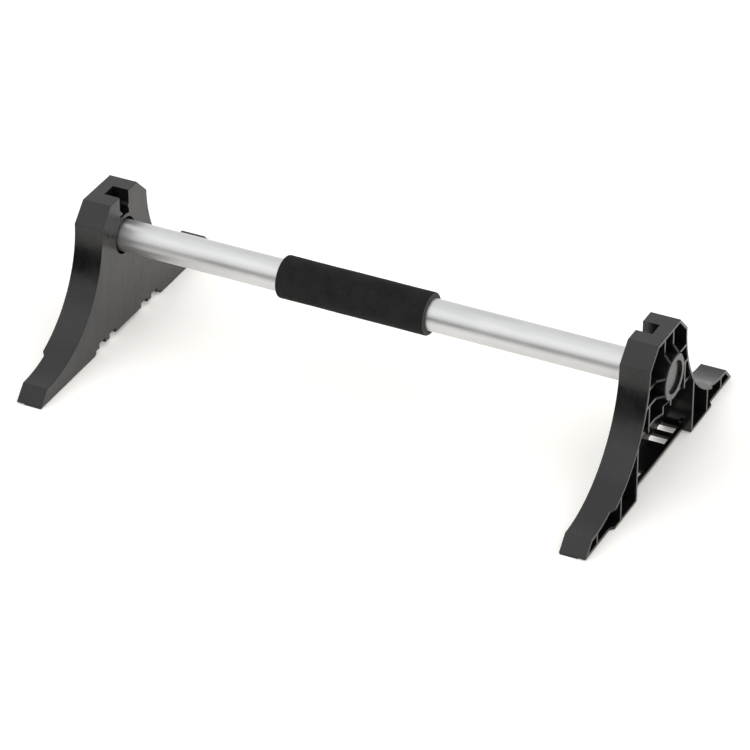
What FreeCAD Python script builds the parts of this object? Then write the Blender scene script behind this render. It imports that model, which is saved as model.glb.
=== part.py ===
"""Low exercise bar: an aluminium tube held between two moulded end brackets.

Units are millimetres. X runs along the bar, Y from front (-) to back (+), Z up.
The origin is on the floor, half-way between the brackets. Both brackets are
the same moulding: the left one is the right one turned half round about Z.
"""
import os
import math

import FreeCAD
import Part

Vec = FreeCAD.Vector
UP = Vec(0, 0, 1)
ALONG_BAR = Vec(1, 0, 0)

# ---- bar ----------------------------------------------------------------
BAR_HEIGHT = 102.0          # axis of the tube above the floor
TUBE_R = 16.0
TUBE_WALL = 1.5
TUBE_HALF_LENGTH = 299.5
TUBE_END_CHAMFER = 0.4

GRIP_R = 21.5
GRIP_BORE_R = 16.05
GRIP_LEFT_X = -96.5
GRIP_RIGHT_X = 60.0
GRIP_ROUND = 2.0

# ---- bracket, seen along the bar ----------------------------------------
INNER_X = 270.0             # inner face of each bracket from the middle
DEPTH = 30.5                # inner face to outer rim
TOE_DEPTH = 26.6            # the feet are shallower than the body
TOE_STEP_START = 112.5      # where the outer rim begins to step in
TOE_STEP_END = 118.5
TOE_STEP_FACETS = 8         # flats that make up the rounded step
SKIN = 3.5                  # closed inner face
WALL = 3.0                  # perimeter wall
TOP_Z = 148.0
TOP_HALF_WIDTH = 26.0
SHOULDER_Z = 130.0          # foot of the 45 degree chamfer
SHOULDER_Y = 44.0
SWEEP_R = 114.0             # concave sweep from shoulder to toe
TOE_TOP_Y = 158.0
TOE_TIP_Y = 172.0
SOLE_Z = 1.0                # underside of the feet, above the rubber strips
ARCH_Z = 5.0                # underside between the feet
ARCH_HALF_WIDTH = 64.0
EDGE_ROUND = 0.7            # on every outside edge of the moulding

# ---- socket boss --------------------------------------------------------
BOSS_R = 22.5
BOSS_LENGTH = 37.5          # it stands proud of the outer rim
SOCKET_R = 19.0
SOCKET_DEPTH = 30.5
RECESS_R = 16.5
RECESS_FLOOR = 34.9
BOSS_EDGE = 0.8

BUSH_BORE_R = 16.05
BUSH_OUTER_R = 18.95
BUSH_START = 12.5
BUSH_END = 30.0

# ---- top pocket and button ----------------------------------------------
POCKET_HALF_WIDTH = 8.7
POCKET_DEPTH = 17.0
POCKET_BACK = 2.5
RIDGE_Z = 130.5             # snap ridges on the pocket's side walls
RIDGE_HALF_HEIGHT = 3.0
RIDGE_PROUD = 2.2
BUTTON_X = 7.2              # from the bracket's inner face
BUTTON_R = 4.5
BUTTON_TOP_Z = 126.8
BUTTON_DOME = 2.6
BUTTON_FLANGE_R = 6.0
BUTTON_FLANGE_TOP = 115.05
BUTTON_FLANGE_THICK = 1.5
BUTTON_TUBE_HOLE_R = 4.58
BUTTON_BOSS_HOLE_R = 4.8

SPRING_THICK = 0.8
SPRING_HALF_WIDTH = 4.5
SPRING_LOW_Z = 88.35
SPRING_BEND_X = -28.0       # from the bracket's inner face, towards the middle
SPRING_UPPER_END = 12.0
SPRING_LOWER_END = 16.0

# ---- ribs, as (centre, thickness) ---------------------------------------
RIB = 2.6
LEG_WALL = 3.0
FOOT_RIBS_Y = (101.5, 145.5)
CEILING_Z = 65.3
CEILING_RECESS = 3.0        # the ceiling stops short of the outer rim
CEILING_SLANT = 12.0        # over which its edge falls back from the low wall
UPRIGHT_END_Z = 64.0        # the uprights end level with the ceiling
SIDE_WALL_Y = 41.7
LOWER_RIB_Z = 92.8
UPPER_RIB_Z = 111.2
LOW_WALL_Y = 9.0
RAMP_LENGTH = 8.0
RAMP_BEAD_R = 1.5           # round edge along the upright ramps
RAMP_BEAD_SUNK = 0.9

# ---- base plate and strap slots -----------------------------------------
PLATE_DEPTH = 23.4
SLOT_CENTRES_Y = (31.5, 51.9)
SLOT_WIDTH = 12.4
SLOT_DEPTH = 19.2
NOTCH_TOP_Z = 10.4
GUSSET = 5.0

# ---- rubber foot strips -------------------------------------------------
STRIP_THICK = 2.0
STRIP_START_X = 0.6
STRIP_END_X = 18.5
STRIP_START_Y = 66.0
STRIP_END_Y = 171.0


def box(x, y, z):
    """Box between the low and high values given as three pairs."""
    size = (x[1] - x[0], y[1] - y[0], z[1] - z[0])
    return Part.makeBox(size[0], size[1], size[2], Vec(x[0], y[0], z[0]))


def rod_x(radius, x_start, x_end, height=BAR_HEIGHT):
    """Cylinder along the bar."""
    return Part.makeCylinder(radius, x_end - x_start, Vec(x_start, 0, height), ALONG_BAR)


def rod_z(radius, z_start, z_end, x):
    """Upright cylinder on the bar's centre plane."""
    return Part.makeCylinder(radius, z_end - z_start, Vec(x, 0, z_start), UP)


def both_sides(shape):
    """The shape and its mirror image across the XZ plane."""
    return [shape, shape.mirror(Vec(0, 0, 0), Vec(0, 1, 0))]


def prism_y(points, y_start, y_end):
    """Polygon of (x, z) points pushed along Y."""
    loop = [Vec(x, y_start, z) for x, z in points]
    face = Part.Face(Part.makePolygon(loop + loop[:1]))
    return face.extrude(Vec(0, y_end - y_start, 0))


def prism_z(points, z_start, z_end):
    """Polygon of (x, y) points pushed along Z."""
    loop = [Vec(x, y, z_start) for x, y in points]
    face = Part.Face(Part.makePolygon(loop + loop[:1]))
    return face.extrude(Vec(0, 0, z_end - z_start))


def outline_face(x):
    """The bracket's outline as a face at the given x."""
    middle_angle = math.radians(225)
    middle_y = TOE_TOP_Y + SWEEP_R * math.cos(middle_angle)
    middle_z = SHOULDER_Z + SWEEP_R * math.sin(middle_angle)
    right_side = [
        Vec(x, TOP_HALF_WIDTH, TOP_Z),
        Vec(x, SHOULDER_Y, SHOULDER_Z),
        Vec(x, TOE_TOP_Y, SHOULDER_Z - SWEEP_R),
        Vec(x, TOE_TIP_Y, SOLE_Z),
        Vec(x, ARCH_HALF_WIDTH, SOLE_Z),
        Vec(x, ARCH_HALF_WIDTH, ARCH_Z),
    ]
    left_side = [Vec(p.x, -p.y, p.z) for p in right_side]
    edges = []
    for side, sign in ((right_side, 1), (left_side, -1)):
        shoulder, toe = side[1], side[2]
        sweep_middle = Vec(x, sign * middle_y, middle_z)
        edges.append(Part.makeLine(side[0], shoulder))
        edges.append(Part.Arc(shoulder, sweep_middle, toe).toShape())
        edges.append(Part.makeLine(toe, side[3]))
        edges.append(Part.makeLine(side[3], side[4]))
        edges.append(Part.makeLine(side[4], side[5]))
    edges.append(Part.makeLine(right_side[0], left_side[0]))
    edges.append(Part.makeLine(right_side[5], left_side[5]))
    return Part.Face(Part.Wire(Part.__sortEdges__(edges)))


def rib_y(centre, thick, z):
    """Upright rib across the open side, at y = centre."""
    return box((0, DEPTH), (centre - thick / 2, centre + thick / 2), z)


def rib_z(centre, thick, y):
    """Level rib across the open side, at z = centre."""
    return box((0, DEPTH), y, (centre - thick / 2, centre + thick / 2))


def bracket_ribs():
    """Everything left standing inside the perimeter wall."""
    ribs = [rod_x(BOSS_R, 0, DEPTH)]
    leg_centre = ARCH_HALF_WIDTH + LEG_WALL / 2
    ribs += both_sides(rib_y(leg_centre, LEG_WALL, (0, CEILING_Z)))
    for y in FOOT_RIBS_Y:
        ribs += both_sides(rib_y(y, RIB, (0, CEILING_Z)))
    ceiling_plan = [(0, LOW_WALL_Y), (DEPTH, LOW_WALL_Y),
                    (DEPTH - CEILING_RECESS, LOW_WALL_Y + CEILING_SLANT),
                    (DEPTH - CEILING_RECESS, ARCH_HALF_WIDTH), (0, ARCH_HALF_WIDTH)]
    ribs += both_sides(prism_z(ceiling_plan, CEILING_Z - RIB / 2, CEILING_Z + RIB / 2))
    ribs += both_sides(rib_y(SIDE_WALL_Y, RIB, (UPRIGHT_END_Z, LOWER_RIB_Z)))
    for z in (LOWER_RIB_Z, UPPER_RIB_Z):
        ribs.append(rib_z(z, RIB, (-ARCH_HALF_WIDTH, ARCH_HALF_WIDTH)))
    ribs += both_sides(rib_y(LOW_WALL_Y, RIB, (UPRIGHT_END_Z, BAR_HEIGHT)))
    pocket_wall_y = POCKET_HALF_WIDTH + POCKET_BACK / 2
    ribs += both_sides(rib_y(pocket_wall_y, POCKET_BACK, (BAR_HEIGHT, TOP_Z)))
    ribs.append(box((0, POCKET_DEPTH + POCKET_BACK),
                    (-POCKET_HALF_WIDTH, POCKET_HALF_WIDTH), (BAR_HEIGHT, TOP_Z)))
    return ribs


def boss_ramps():
    """Ribs that climb from the outer rim to the proud socket boss."""
    rise = BOSS_LENGTH - 0.5
    ramps = []
    for z in (LOWER_RIB_Z, UPPER_RIB_Z):
        touch_y = math.sqrt(BOSS_R ** 2 - (z - BAR_HEIGHT) ** 2) - 0.6
        plan = [(DEPTH - 1, touch_y + RAMP_LENGTH), (DEPTH, touch_y + RAMP_LENGTH),
                (rise, touch_y), (DEPTH - 1, touch_y)]
        ramps += both_sides(prism_z(plan, z - RIB / 2, z + RIB / 2))
    pocket_wall_y = POCKET_HALF_WIDTH + POCKET_BACK / 2
    for y, thick, up in ((LOW_WALL_Y, RIB, -1), (pocket_wall_y, POCKET_BACK, 1)):
        touch_z = BAR_HEIGHT + up * (math.sqrt(BOSS_R ** 2 - y ** 2) - 0.6)
        foot_z = touch_z + up * RAMP_LENGTH
        side = [(DEPTH - 1, foot_z), (DEPTH, foot_z), (rise, touch_z), (DEPTH - 1, touch_z)]
        ramps += both_sides(prism_y(side, y - thick / 2, y + thick / 2))
        slope = Vec(rise - DEPTH, 0, touch_z - foot_z)
        bead_start = Vec(DEPTH - RAMP_BEAD_SUNK, y, foot_z)
        ramps += both_sides(Part.makeCylinder(RAMP_BEAD_R, slope.Length, bead_start, slope))
    return ramps


def toe_step():
    """What is taken off the outer rim at each foot, behind a rounded step."""
    drop = DEPTH - TOE_DEPTH
    run = TOE_STEP_END - TOE_STEP_START
    plan = [(DEPTH + 1, TOE_STEP_START)]
    for n in range(TOE_STEP_FACETS + 1):
        t = n / TOE_STEP_FACETS
        plan.append((DEPTH - drop * t * t * (3 - 2 * t), TOE_STEP_START + run * t))
    plan += [(TOE_DEPTH, TOE_TIP_Y + 1), (DEPTH + 1, TOE_TIP_Y + 1)]
    return both_sides(prism_z(plan, -1, SHOULDER_Z))


def top_pocket():
    """The pocket over the socket, less the boss and the two snap ridges."""
    pocket = box((-1, POCKET_DEPTH), (-POCKET_HALF_WIDTH, POCKET_HALF_WIDTH), (BAR_HEIGHT, TOP_Z + 1))
    profile = [Vec(0, POCKET_HALF_WIDTH, RIDGE_Z - RIDGE_HALF_HEIGHT),
               Vec(0, POCKET_HALF_WIDTH - RIDGE_PROUD, RIDGE_Z),
               Vec(0, POCKET_HALF_WIDTH, RIDGE_Z + RIDGE_HALF_HEIGHT)]
    ridge = Part.Face(Part.makePolygon(profile + profile[:1])).extrude(Vec(POCKET_DEPTH, 0, 0))
    return pocket.cut([rod_x(BOSS_R, -2, DEPTH)] + both_sides(ridge))


def make_bracket():
    """One bracket with its inner face at x = 0, its open side towards +X."""
    body = outline_face(0).extrude(Vec(DEPTH, 0, 0))
    body = body.makeFillet(EDGE_ROUND, body.Edges)
    inside = outline_face(SKIN).makeOffset2D(-WALL, 2).extrude(Vec(DEPTH, 0, 0))
    body = body.cut(inside.cut(bracket_ribs()))

    boss = rod_x(BOSS_R, 0, BOSS_LENGTH)
    rim = [e for e in boss.Edges if abs(e.BoundBox.XMin - BOSS_LENGTH) < 0.01
           and abs(e.BoundBox.XMax - BOSS_LENGTH) < 0.01]
    body = body.fuse([boss.makeChamfer(BOSS_EDGE, rim)] + boss_ramps())

    gusset_plan = [(PLATE_DEPTH - GUSSET, ARCH_Z), (PLATE_DEPTH, ARCH_Z),
                   (PLATE_DEPTH, ARCH_Z + WALL + GUSSET), (PLATE_DEPTH - GUSSET, ARCH_Z + WALL + GUSSET)]
    body = body.fuse(both_sides(prism_y(gusset_plan, ARCH_HALF_WIDTH - RIB, ARCH_HALF_WIDTH)))

    cuts = [rod_x(SOCKET_R, -1, SOCKET_DEPTH), rod_x(RECESS_R, RECESS_FLOOR, BOSS_LENGTH + 1)]
    cuts.append(top_pocket())
    cuts.append(rod_z(BUTTON_BOSS_HOLE_R, BAR_HEIGHT, TOP_Z, BUTTON_X))
    cuts.append(box((PLATE_DEPTH, DEPTH + 1), (-ARCH_HALF_WIDTH, ARCH_HALF_WIDTH),
                    (0, ARCH_Z + WALL + 0.01)))
    for y in SLOT_CENTRES_Y:
        slot = box((-1, SLOT_DEPTH), (y - SLOT_WIDTH / 2, y + SLOT_WIDTH / 2), (0, NOTCH_TOP_Z))
        cuts += both_sides(slot)
    cuts += toe_step()
    strip_bed = box((STRIP_START_X, STRIP_END_X), (STRIP_START_Y, STRIP_END_Y),
                    (0, STRIP_THICK))
    cuts += both_sides(strip_bed)
    return body.cut(cuts).removeSplitter()


def make_bush():
    """Liner at the blind end of the socket that the tube seats in."""
    return rod_x(BUSH_OUTER_R, BUSH_START, BUSH_END).cut(
        rod_x(BUSH_BORE_R, BUSH_START - 1, BUSH_END + 1))


def make_button():
    """Domed snap button with the flange that keeps it inside the tube."""
    flange_low = BUTTON_FLANGE_TOP - BUTTON_FLANGE_THICK
    flange = rod_z(BUTTON_FLANGE_R, flange_low, BUTTON_FLANGE_TOP, BUTTON_X)
    stem = rod_z(BUTTON_R, flange_low, BUTTON_TOP_Z, BUTTON_X)
    dome_r = (BUTTON_R ** 2 + BUTTON_DOME ** 2) / (2 * BUTTON_DOME)
    dome = Part.makeSphere(dome_r, Vec(BUTTON_X, 0, BUTTON_TOP_Z - dome_r))
    low_part = rod_z(BUTTON_R, flange_low, BUTTON_TOP_Z - BUTTON_DOME, BUTTON_X)
    return stem.common(dome.fuse(low_part)).fuse(flange).removeSplitter()


def make_spring():
    """U-shaped leaf spring lying in the tube under the button."""
    top = BUTTON_FLANGE_TOP - BUTTON_FLANGE_THICK
    outer_r = (top - SPRING_LOW_Z) / 2
    centre_z = (top + SPRING_LOW_Z) / 2
    inner_r = outer_r - SPRING_THICK
    width = (-SPRING_HALF_WIDTH, SPRING_HALF_WIDTH)
    upper = box((SPRING_BEND_X, SPRING_UPPER_END), width, (top - SPRING_THICK, top))
    lower = box((SPRING_BEND_X, SPRING_LOWER_END), width, (SPRING_LOW_Z, SPRING_LOW_Z + SPRING_THICK))
    start = Vec(SPRING_BEND_X, -SPRING_HALF_WIDTH, centre_z)
    across = Vec(0, 1, 0)
    ring = Part.makeCylinder(outer_r, 2 * SPRING_HALF_WIDTH, start, across)
    ring = ring.cut(Part.makeCylinder(inner_r, 2 * SPRING_HALF_WIDTH, start, across))
    half = box((SPRING_BEND_X - outer_r - 1, SPRING_BEND_X), width,
               (centre_z - outer_r - 1, centre_z + outer_r + 1))
    return ring.common(half).fuse([upper, lower]).removeSplitter()


def make_strip():
    """Rubber strip under the back foot."""
    return box((STRIP_START_X, STRIP_END_X), (STRIP_START_Y, STRIP_END_Y), (0, STRIP_THICK))


def make_tube():
    """Round tube, drilled near each end for the snap button."""
    outer = rod_x(TUBE_R, -TUBE_HALF_LENGTH, TUBE_HALF_LENGTH)
    ends = [e for e in outer.Edges if e.BoundBox.XLength < 0.01]
    outer = outer.makeChamfer(TUBE_END_CHAMFER, ends)
    tube = outer.cut(rod_x(TUBE_R - TUBE_WALL, -TUBE_HALF_LENGTH - 1, TUBE_HALF_LENGTH + 1))
    for sign in (-1, 1):
        hole_x = sign * (INNER_X + BUTTON_X)
        tube = tube.cut(rod_z(BUTTON_TUBE_HOLE_R, BAR_HEIGHT, BAR_HEIGHT + TUBE_R + 1, hole_x))
    return tube


def make_grip():
    """Foam sleeve on the tube."""
    sleeve = rod_x(GRIP_R, GRIP_LEFT_X, GRIP_RIGHT_X)
    ends = [e for e in sleeve.Edges if e.BoundBox.XLength < 0.01]
    sleeve = sleeve.makeFillet(GRIP_ROUND, ends)
    return sleeve.cut(rod_x(GRIP_BORE_R, GRIP_LEFT_X - 1, GRIP_RIGHT_X + 1))


def place(shape, side):
    """Put an end piece drawn from x = 0 outwards at the left or right end."""
    placed = shape.copy()
    placed.translate(Vec(INNER_X, 0, 0))
    if side == "left":
        placed.rotate(Vec(0, 0, 0), UP, 180)
    return placed


def save(node, shape):
    """Write one node after checking that it is a single sound solid."""
    if shape.ShapeType == "Compound" and len(shape.Solids) == 1:
        shape = shape.Solids[0]
    if len(shape.Solids) != 1 or not shape.isValid():
        raise ValueError(node + " is not one valid solid")
    shape.exportStep("parts/" + node + ".step")


os.makedirs("parts", exist_ok=True)
save("bar_tube", make_tube())
save("foam_grip", make_grip())
end_pieces = {
    "bracket": make_bracket(),
    "socket_bush": make_bush(),
    "lock_button": make_button(),
    "button_spring": make_spring(),
}
back_strip = make_strip()
front_strip = back_strip.mirror(Vec(0, 0, 0), Vec(0, 1, 0))
for end in ("left", "right"):
    for name, piece in end_pieces.items():
        save(end + "_" + name, place(piece, end))
    turned = end == "left"
    save(end + "_front_foot_strip", place(back_strip if turned else front_strip, end))
    save(end + "_back_foot_strip", place(front_strip if turned else back_strip, end))
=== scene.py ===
"""Looks of the low exercise bar: two moulded end brackets, an aluminium tube and a foam grip.

All lengths are in metres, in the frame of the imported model: X along the bar, Y from
front (-) to back (+), Z up, with the origin on the floor half-way between the brackets.
"""
import math

import bmesh
import bpy
from mathutils import Matrix, Vector, noise


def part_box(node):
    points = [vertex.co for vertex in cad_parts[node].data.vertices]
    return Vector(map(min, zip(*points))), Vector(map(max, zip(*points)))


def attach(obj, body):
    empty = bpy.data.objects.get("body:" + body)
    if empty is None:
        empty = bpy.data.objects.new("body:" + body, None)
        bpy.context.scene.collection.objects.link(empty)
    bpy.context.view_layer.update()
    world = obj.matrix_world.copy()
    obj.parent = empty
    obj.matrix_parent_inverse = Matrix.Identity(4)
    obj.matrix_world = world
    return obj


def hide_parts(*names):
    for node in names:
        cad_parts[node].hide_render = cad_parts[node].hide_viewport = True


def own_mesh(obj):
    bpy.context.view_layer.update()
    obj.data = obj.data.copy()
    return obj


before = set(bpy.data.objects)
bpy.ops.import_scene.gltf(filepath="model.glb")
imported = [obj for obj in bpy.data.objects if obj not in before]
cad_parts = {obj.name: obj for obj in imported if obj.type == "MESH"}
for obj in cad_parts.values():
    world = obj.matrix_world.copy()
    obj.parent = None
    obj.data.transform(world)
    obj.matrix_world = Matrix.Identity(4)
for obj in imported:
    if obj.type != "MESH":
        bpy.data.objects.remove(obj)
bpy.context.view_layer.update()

# ---- camera: angles in degrees, lens in millimetres ---------------------
CAMERA_AZIMUTH = 26.54
CAMERA_ELEVATION = 32.67
CAMERA_ROLL = -0.18
CAMERA_DISTANCE = 4.086
CAMERA_LENS = 204.8
CAMERA_SENSOR = 36
CAMERA_REACH = 60
CAMERA_TARGET = Vector((-0.0038, 0.0069, 0.0123))

# ---- light --------------------------------------------------------------
WORLD_STRENGTH = 1.13
WORLD_BACK = 0.84               # how bright the studio is behind the bar, as a share of the front
WORLD_FADE = (0.0, 0.7)         # the dimming starts and ends at these directions along Y
WORLD_COLOUR = (0.985, 0.992, 1.0)
SOFTBOX_PLACE = Vector((-0.45, -0.85, 1.25))
SOFTBOX_AIM = Vector((0, 0, 0.08))
SOFTBOX_SIZE = (1.6, 0.9)
SOFTBOX_POWER = 1.3
FLAG_SIZE = (1.7, 0.19)         # dark card in front that gives glossy fronts their dark band
FLAG_PLACE = Vector((-0.15, -0.46, 0.097))
FLOOR_SIZE = 12.0
FLOOR_COLOUR = (0.975, 0.955, 0.925)
FLOOR_CLOUD_CELLS = 6
FLOOR_CLOUDS = 0.008            # how much paler the floor gets in places
FLOOR_GLOSS = 0.1
FLOOR_ROUGHNESS = 0.9
FLOOR_GLOW_COLOUR = (1.0, 0.95, 0.88)
FLOOR_GLOW = 0.18               # light that comes up through the table

# ---- materials ----------------------------------------------------------
# Cells are counted to the metre, along X, Y and Z where there are three numbers. Colours
# are the darkest and the lightest, and roughness goes from the least to the most.
NOISE_RANGE = (0.3, 0.7)        # where one noise mostly lies
MIXED_RANGE = (0.35, 0.65)      # where two noises mixed mostly lie

PLASTIC_COLOURS = ((0.0042, 0.0040, 0.0039), (0.0078, 0.0075, 0.0073))
PLASTIC_ROUGHNESS = (0.17, 0.30)
PLASTIC_IOR = 1.48
PLASTIC_CLOUD_CELLS = 22
PLASTIC_PATCH_CELLS = 34
PLASTIC_STREAK_CELLS = (120, 120, 16)   # upright flow marks
PLASTIC_STREAK_SHARE = 0.45     # of the sheen; patches make the rest
PLASTIC_WAVE_CELLS = 48
PLASTIC_WAVE_DEPTH = 0.0006
PLASTIC_GRAIN_CELLS = 2600
PLASTIC_GRAIN_DEPTH = 0.00003
SINK_MARKS_Y = (0.0655, 0.0417, 0.0112)
SINK_MARK_WIDTH = 0.0022
SINK_MARK_DEPTH = 0.00004

TUBE_COLOURS = ((0.60, 0.60, 0.60), (0.67, 0.67, 0.665))
TUBE_ROUGHNESS = (0.36, 0.47)
TUBE_LINE_CELLS = (5, 2400, 2400)
TUBE_LINE_SHARE = 0.6
TUBE_CLOUD_CELLS = (14, 60, 60)

SKIN_COLOURS = ((0.006, 0.006, 0.006), (0.016, 0.016, 0.016))
SKIN_GLOSS = 0.18
# paler colours for the grip's cut ends: painted sheen that stands in for light caught at a grazing
# angle
END_PAINTED_SHEEN_COLOURS = ((0.040, 0.040, 0.040), (0.062, 0.062, 0.061))
CUT_GLOSS = 0.3
FOAM_ROUGHNESS = (0.82, 0.98)
FOAM_TONE_RANGE = (0.38, 0.62)
FOAM_SPECKLE_CELLS = 900
FOAM_SPECKLE_SHARE = 0.7
FOAM_SPECKLE_DEPTH = 0.00025
FOAM_CLOUD_CELLS = 60
FOAM_PIT_CELLS = 1100
FOAM_PIT_DEPTH = 0.0002

METAL_BLOTCH_CELLS = 350
METAL_LINE_DEPTH = 0.00002      # also on the tube
ZINC_COLOURS = ((0.17, 0.18, 0.20), (0.27, 0.28, 0.30))
ZINC_ROUGHNESS = (0.30, 0.45)
ZINC_LINE_CELLS = (900, 900, 60)
SPRING_COLOURS = ((0.30, 0.30, 0.31), (0.46, 0.46, 0.47))
SPRING_ROUGHNESS = (0.32, 0.46)
SPRING_LINE_CELLS = (60, 2500, 900)

DULL_BLOTCH_CELLS = 140
DULL_GRAIN_DEPTH = 0.00005
NYLON_COLOURS = ((0.012, 0.012, 0.012), (0.022, 0.022, 0.022))
NYLON_ROUGHNESS = (0.45, 0.6)
NYLON_GRAIN_CELLS = 1500
RUBBER_COLOURS = ((0.014, 0.014, 0.014), (0.026, 0.026, 0.025))
RUBBER_ROUGHNESS = (0.72, 0.9)
RUBBER_GRAIN_CELLS = 1800
FLAG_COLOURS = ((0.004, 0.004, 0.004), (0.006, 0.006, 0.006))
FLAG_ROUGHNESS = (0.9, 1.0)
FLAG_GRAIN_CELLS = 40

# ---- foam grip ----------------------------------------------------------
GRIP_INSET = 0.0002             # the skin starts this far inside its CAD sleeve
GRIP_CLEARANCE = 0.0001         # gap between the sleeve and the tube
GRIP_ROUND = 0.002
GRIP_STEP = 0.0011              # edge length of its mesh
GRIP_END_STEPS = 5              # rings across each cut end and round each rim
GRIP_SMOOTH_EDGE = 0.0005       # the bore's edge stays even this far out
CUT_FACE_TURN = 0.55            # faces that look this much along the bar belong to a cut end
GRIP_PITS = 0.00016             # depth of the open cells in its skin
PIT_CELLS = (620, 1250)         # large and small pits to the metre
SMALL_PIT_SHARE = 0.6
PIT_LEVEL = 0.1                 # noise below this level makes a pit
GRIP_WAVES = 0.00022            # slow unevenness of the sleeve
WAVE_CELLS = (30, 42, 42)
WAVE_LEVEL = 0.6                # taken off the noise, so that hardly any wave stands proud


def make_camera():
    """Long lens looking down at the bar from the front right."""
    azimuth = math.radians(CAMERA_AZIMUTH)
    elevation = math.radians(CAMERA_ELEVATION)
    roll = math.radians(CAMERA_ROLL)
    back = Vector((math.sin(azimuth) * math.cos(elevation),
                   -math.cos(azimuth) * math.cos(elevation),
                   math.sin(elevation)))
    right = Vector((math.cos(azimuth), math.sin(azimuth), 0))
    up = back.cross(right)
    tilted_right = right * math.cos(roll) + up * math.sin(roll)
    tilted_up = up * math.cos(roll) - right * math.sin(roll)
    turn = Matrix((tilted_right, tilted_up, back)).transposed().to_4x4()
    data = bpy.data.cameras.new("camera")
    data.lens = CAMERA_LENS
    data.sensor_width = CAMERA_SENSOR
    data.clip_end = CAMERA_REACH
    camera = bpy.data.objects.new("camera", data)
    bpy.context.collection.objects.link(camera)
    camera.matrix_world = Matrix.Translation(CAMERA_TARGET + back * CAMERA_DISTANCE) @ turn
    bpy.context.scene.camera = camera


class Nodes:
    """Small helper that builds a material's or world's node tree."""

    def __init__(self, tree):
        self.tree = tree

    def add(self, kind, inputs=None, **settings):
        """A node with its settings and its inputs, each a value or another node's output."""
        node = self.tree.nodes.new(kind)
        for name, value in settings.items():
            setattr(node, name, value)
        for key, value in (inputs or {}).items():
            socket = node.inputs[key]
            if isinstance(value, bpy.types.NodeSocket):
                self.tree.links.new(value, socket)
            else:
                socket.default_value = value
        return node

    def position(self):
        """Place on the object in metres."""
        return self.add("ShaderNodeTexCoord").outputs["Object"]

    def split(self, vector):
        """The three parts of a vector."""
        return self.add("ShaderNodeSeparateXYZ", {0: vector}).outputs

    def math(self, operation, first, second=0.0):
        """Result of one sum."""
        return self.add("ShaderNodeMath", {0: first, 1: second}, operation=operation).outputs[0]

    def mixture(self, first, share, second):
        """Sum of two values, the first counted with its share and the second with the rest."""
        return self.math("ADD", self.math("MULTIPLY", first, share),
                         self.math("MULTIPLY", second, 1 - share))

    def noise(self, scale, detail=3.0, stretch=(1, 1, 1), roughness=0.5):
        """Noise with the given number of cells to the metre along each axis."""
        where = self.add("ShaderNodeMapping", {"Vector": self.position(), "Scale": stretch})
        inputs = {"Vector": where.outputs[0], "Scale": scale,
                  "Detail": detail, "Roughness": roughness}
        return self.add("ShaderNodeTexNoise", inputs).outputs["Fac"]

    def spread(self, value, low, high, within=NOISE_RANGE):
        """The value moved from the range within to the range low-high."""
        inputs = {0: value, 1: within[0], 2: within[1], 3: low, 4: high}
        return self.add("ShaderNodeMapRange", inputs, interpolation_type="SMOOTHSTEP").outputs[0]

    def blend(self, factor, first, second):
        """Colour between two colours."""
        ends = {0: factor, 6: (*first, 1), 7: (*second, 1)}
        return self.add("ShaderNodeMix", ends, data_type="RGBA").outputs[2]

    def bump(self, height, distance, strength=1.0, below=None):
        """Normal of a relief, distance metres deep, over an earlier one."""
        inputs = {"Height": height, "Distance": distance, "Strength": strength}
        if below is not None:
            inputs["Normal"] = below
        return self.add("ShaderNodeBump", inputs).outputs[0]


def new_material(name):
    """Empty node material, with its helper and its shader."""
    material = bpy.data.materials.new(name)
    material.use_nodes = True
    return material, Nodes(material.node_tree), material.node_tree.nodes["Principled BSDF"]


def finish_shader(nodes, shader, colour, roughness, normal):
    """Link the varying parts of a material to its shader."""
    for socket, output in (("Base Color", colour), ("Roughness", roughness), ("Normal", normal)):
        nodes.tree.links.new(output, shader.inputs[socket])


def sink_marks(nodes):
    """Height of the faint upright hollows that the ribs leave on a bracket's flat face."""
    across = nodes.math("ABSOLUTE", nodes.split(nodes.position())[1])
    marks = None
    for centre in SINK_MARKS_Y:
        offset = nodes.math("DIVIDE", nodes.math("SUBTRACT", across, centre), SINK_MARK_WIDTH)
        square = nodes.math("MULTIPLY", offset, offset)
        dip = nodes.math("EXPONENT", nodes.math("MULTIPLY", square, -1.0))
        marks = dip if marks is None else nodes.math("ADD", marks, dip)
    facing = nodes.split(nodes.add("ShaderNodeNewGeometry").outputs["True Normal"])
    marks = nodes.math("MULTIPLY", marks, nodes.math("ABSOLUTE", facing[0]))
    return nodes.math("MULTIPLY", marks, -1.0)


def plastic_material():
    """Black moulded plastic: fine grain, flow marks, sink marks over the ribs, uneven sheen."""
    material, nodes, shader = new_material("bracket_plastic")
    shader.inputs["IOR"].default_value = PLASTIC_IOR
    clouds = nodes.noise(PLASTIC_CLOUD_CELLS, 4)
    colour = nodes.blend(nodes.spread(clouds, 0, 1), *PLASTIC_COLOURS)
    streaks = nodes.noise(1, 4, PLASTIC_STREAK_CELLS)
    patches = nodes.noise(PLASTIC_PATCH_CELLS, 3)
    sheen = nodes.mixture(streaks, PLASTIC_STREAK_SHARE, patches)
    roughness = nodes.spread(sheen, *PLASTIC_ROUGHNESS, MIXED_RANGE)
    sunk = nodes.bump(sink_marks(nodes), SINK_MARK_DEPTH)
    wavy = nodes.bump(nodes.noise(PLASTIC_WAVE_CELLS, 2), PLASTIC_WAVE_DEPTH, 0.5, sunk)
    grain = nodes.bump(nodes.noise(PLASTIC_GRAIN_CELLS, 3), PLASTIC_GRAIN_DEPTH, 0.6, wavy)
    finish_shader(nodes, shader, colour, roughness, grain)
    return material


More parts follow.
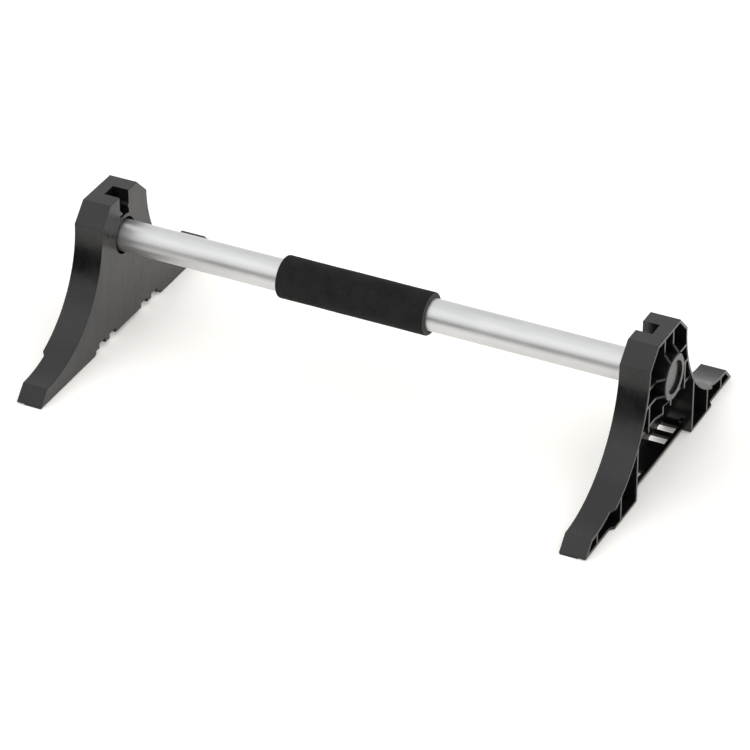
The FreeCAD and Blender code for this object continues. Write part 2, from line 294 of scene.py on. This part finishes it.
def aluminium_material():
    """Satin anodised drawn tube with fine lengthwise lines."""
    material, nodes, shader = new_material("tube_aluminium")
    shader.inputs["Metallic"].default_value = 1.0
    lines = nodes.noise(1, 5, TUBE_LINE_CELLS)
    clouds = nodes.noise(1, 3, TUBE_CLOUD_CELLS)
    colour = nodes.blend(nodes.spread(clouds, 0, 1), *TUBE_COLOURS)
    tone = nodes.mixture(lines, TUBE_LINE_SHARE, clouds)
    roughness = nodes.spread(tone, *TUBE_ROUGHNESS, MIXED_RANGE)
    finish_shader(nodes, shader, colour, roughness, nodes.bump(lines, METAL_LINE_DEPTH, 0.5))
    return material


def foam_material(name, colours, gloss):
    """Matt closed-cell foam with a lightly pitted skin or cut face."""
    material, nodes, shader = new_material(name)
    shader.inputs["Specular IOR Level"].default_value = gloss
    speckle = nodes.noise(FOAM_SPECKLE_CELLS, 4, roughness=0.65)
    clouds = nodes.noise(FOAM_CLOUD_CELLS, 3)
    tone = nodes.mixture(speckle, FOAM_SPECKLE_SHARE, clouds)
    colour = nodes.blend(nodes.spread(tone, 0, 1, FOAM_TONE_RANGE), *colours)
    roughness = nodes.spread(speckle, *FOAM_ROUGHNESS)
    cells = {"Vector": nodes.position(), "Scale": FOAM_PIT_CELLS}
    pits = nodes.add("ShaderNodeTexVoronoi", cells).outputs["Distance"]
    pitted = nodes.bump(pits, FOAM_PIT_DEPTH, 0.5)
    rough = nodes.bump(speckle, FOAM_SPECKLE_DEPTH, 0.6, pitted)
    finish_shader(nodes, shader, colour, roughness, rough)
    return material


def metal_material(name, colours, rough, line_cells):
    """Plain steel part: plated or bare, with fine marks along one axis."""
    material, nodes, shader = new_material(name)
    shader.inputs["Metallic"].default_value = 1.0
    marks = nodes.noise(1, 4, line_cells)
    blotches = nodes.noise(METAL_BLOTCH_CELLS, 3)
    colour = nodes.blend(nodes.spread(blotches, 0, 1), *colours)
    roughness = nodes.spread(marks, *rough)
    finish_shader(nodes, shader, colour, roughness, nodes.bump(marks, METAL_LINE_DEPTH, 0.5))
    return material


def dull_material(name, colours, rough, grain_cells):
    """Rubber, cloth or unpolished nylon with an even fine grain."""
    material, nodes, shader = new_material(name)
    blotches = nodes.noise(DULL_BLOTCH_CELLS, 3)
    colour = nodes.blend(nodes.spread(blotches, 0, 1), *colours)
    grain = nodes.noise(grain_cells, 3)
    roughness = nodes.spread(grain, *rough)
    finish_shader(nodes, shader, colour, roughness, nodes.bump(grain, DULL_GRAIN_DEPTH, 0.6))
    return material


def floor_material():
    """Pale paper that glows faintly."""
    material, nodes, shader = new_material("floor_paper")
    shader.inputs["Specular IOR Level"].default_value = FLOOR_GLOSS
    paler = tuple(min(1.0, part + FLOOR_CLOUDS) for part in FLOOR_COLOUR)
    colour = nodes.blend(nodes.noise(FLOOR_CLOUD_CELLS, 2), FLOOR_COLOUR, paler)
    nodes.tree.links.new(colour, shader.inputs["Base Color"])
    shader.inputs["Roughness"].default_value = FLOOR_ROUGHNESS
    shader.inputs["Emission Color"].default_value = (*FLOOR_GLOW_COLOUR, 1)
    shader.inputs["Emission Strength"].default_value = FLOOR_GLOW
    return material


def cover(node, material):
    """Give a CAD node a material in all its slots."""
    mesh = node.data
    if not mesh.materials:
        mesh.materials.append(material)
    for index in range(len(mesh.materials)):
        mesh.materials[index] = material
    for slot in node.material_slots:
        slot.material = material


def new_object(name, data):
    """Object with the given mesh or light, put in the scene."""
    made = bpy.data.objects.new(name, data)
    bpy.context.collection.objects.link(made)
    return made


def grip_outline(low, high, radius, bore):
    """Half section of the sleeve as (x, radius) points, from one bore edge to the other."""
    edge = []
    for n in range(GRIP_END_STEPS):
        edge.append((low, bore + (radius - GRIP_ROUND - bore) * n / GRIP_END_STEPS))
    for n in range(GRIP_END_STEPS + 1):
        angle = math.pi / 2 * n / GRIP_END_STEPS
        along = GRIP_ROUND * (1 - math.cos(angle))
        inwards = GRIP_ROUND * (1 - math.sin(angle))
        edge.append((low + along, radius - inwards))
    straight = high - low - 2 * GRIP_ROUND
    count = round(straight / GRIP_STEP)
    skin = [(low + GRIP_ROUND + straight * n / count, radius) for n in range(1, count)]
    return edge + skin + [(low + high - x, r) for x, r in reversed(edge)]


def skin_relief(point):
    """Distance from the even sleeve to the foam's surface, less than zero where it lies deeper."""
    large, small = PIT_CELLS
    pits = noise.noise(point * large) + SMALL_PIT_SHARE * noise.noise(point * small)
    waves = noise.noise(Vector([part * cells for part, cells in zip(point, WAVE_CELLS)]))
    return GRIP_PITS * min(0.0, pits - PIT_LEVEL) + GRIP_WAVES * (waves - WAVE_LEVEL)


def grip_mesh():
    """Closed sleeve over the tube, with pits and waves in its surface."""
    low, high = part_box("foam_grip")
    tube_low, tube_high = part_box("bar_tube")
    height = (low[2] + high[2]) / 2
    radius = (high[2] - low[2]) / 2 - GRIP_INSET
    bore = (tube_high[2] - tube_low[2]) / 2 + GRIP_CLEARANCE
    around = round(2 * math.pi * radius / GRIP_STEP)
    work = bmesh.new()
    rings = []
    for x, r in grip_outline(low[0], high[0], radius, bore):
        ring = []
        for n in range(around):
            angle = 2 * math.pi * n / around
            outwards = Vector((0, math.cos(angle), math.sin(angle)))
            point = Vector((x, 0, height)) + outwards * r
            relief = skin_relief(point) if r > bore + GRIP_SMOOTH_EDGE else 0.0
            ring.append(work.verts.new(point + outwards * relief))
        rings.append(ring)
    rings.append(rings[0])
    for first, second in zip(rings, rings[1:]):
        for n in range(around):
            m = (n + 1) % around
            work.faces.new((first[n], first[m], second[m], second[n]))
    bmesh.ops.recalc_face_normals(work, faces=work.faces)
    mesh = bpy.data.meshes.new("grip_sleeve")
    work.to_mesh(mesh)
    work.free()
    return mesh


def make_grip(skin, cut):
    """Foam sleeve with a pitted skin, rounded rims and cut ends in paler colours, a painted sheen."""
    mesh = grip_mesh()
    mesh.polygons.foreach_set("use_smooth", [True] * len(mesh.polygons))
    mesh.materials.append(skin)
    mesh.materials.append(cut)
    for face in mesh.polygons:
        if abs(face.normal.x) > CUT_FACE_TURN:
            face.material_index = 1
    grip = new_object("grip_sleeve", mesh)
    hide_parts("foam_grip")
    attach(grip, "frame")


def make_leaf_spring(side, material):
    """Spring under one snap button. The real one flattens as the button is pressed; here it keeps its
    CAD shape.
    """
    node = side + "_button_spring"
    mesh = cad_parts[node].data.copy()
    mesh.materials.clear()
    mesh.materials.append(material)
    spring = new_object(side + "_leaf_spring", mesh)
    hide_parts(node)
    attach(spring, "frame")
    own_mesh(spring)


def make_panel(name, corners, material):
    """Flat four-cornered panel of the studio."""
    mesh = bpy.data.meshes.new(name)
    mesh.from_pydata(corners, [], [(0, 1, 2, 3)])
    mesh.materials.append(material)
    panel = new_object(name, mesh)
    return panel


def make_floor():
    """Pale light table, large enough to fill every view."""
    half = FLOOR_SIZE / 2
    corners = [(-half, -half, 0), (half, -half, 0), (half, half, 0), (-half, half, 0)]
    make_panel("floor", corners, floor_material())


def make_world():
    """White studio, a little dimmer behind the bar than in front of it."""
    world = bpy.data.worlds.new("studio")
    bpy.context.scene.world = world
    world.use_nodes = True
    background = world.node_tree.nodes["Background"]
    background.inputs["Color"].default_value = (*WORLD_COLOUR, 1)
    nodes = Nodes(world.node_tree)
    towards = nodes.add("ShaderNodeTexCoord").outputs["Generated"]
    backwards = nodes.split(towards)[1]
    dimmest = WORLD_STRENGTH * WORLD_BACK
    strength = nodes.spread(backwards, WORLD_STRENGTH, dimmest, WORLD_FADE)
    world.node_tree.links.new(strength, background.inputs["Strength"])


def make_softbox():
    """Large soft lamp in front on the left."""
    data = bpy.data.lights.new("softbox", "AREA")
    data.shape = "RECTANGLE"
    data.size, data.size_y = SOFTBOX_SIZE
    data.energy = SOFTBOX_POWER
    softbox = new_object("softbox", data)
    aim = (SOFTBOX_AIM - SOFTBOX_PLACE).to_track_quat("-Z", "Y")
    softbox.matrix_world = Matrix.Translation(SOFTBOX_PLACE) @ aim.to_matrix().to_4x4()


def make_flag():
    """Low dark card that shows only in reflections."""
    half, tall = FLAG_SIZE[0] / 2, FLAG_SIZE[1] / 2
    corners = [(-half, 0, -tall), (half, 0, -tall), (half, 0, tall), (-half, 0, tall)]
    cloth = dull_material("flag_cloth", FLAG_COLOURS, FLAG_ROUGHNESS, FLAG_GRAIN_CELLS)
    flag = make_panel("flag", corners, cloth)
    flag.location = FLAG_PLACE
    flag.visible_camera = False
    flag.visible_diffuse = False
    flag.visible_shadow = False


make_camera()
make_floor()
make_world()
make_softbox()
make_flag()
bpy.context.scene.view_settings.view_transform = "Standard"

material_by_ending = {
    "bracket": plastic_material(),
    "socket_bush": dull_material("bush_nylon", NYLON_COLOURS, NYLON_ROUGHNESS, NYLON_GRAIN_CELLS),
    "lock_button": metal_material("button_steel", ZINC_COLOURS, ZINC_ROUGHNESS, ZINC_LINE_CELLS),
    "foot_strip": dull_material("strip_rubber", RUBBER_COLOURS, RUBBER_ROUGHNESS, RUBBER_GRAIN_CELLS),
    "bar_tube": aluminium_material(),
}
for name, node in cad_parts.items():
    for ending, material in material_by_ending.items():
        if name.endswith(ending):
            cover(node, material)

grip_skin = foam_material("grip_foam", SKIN_COLOURS, SKIN_GLOSS)
# the cut ends get the paler foam colours, a painted sheen
grip_end_painted_sheen = foam_material("grip_foam_end_painted_sheen", END_PAINTED_SHEEN_COLOURS, CUT_GLOSS)
make_grip(grip_skin, grip_end_painted_sheen)
spring_steel = metal_material("spring_steel", SPRING_COLOURS, SPRING_ROUGHNESS, SPRING_LINE_CELLS)
for side in ("left", "right"):
    make_leaf_spring(side, spring_steel)
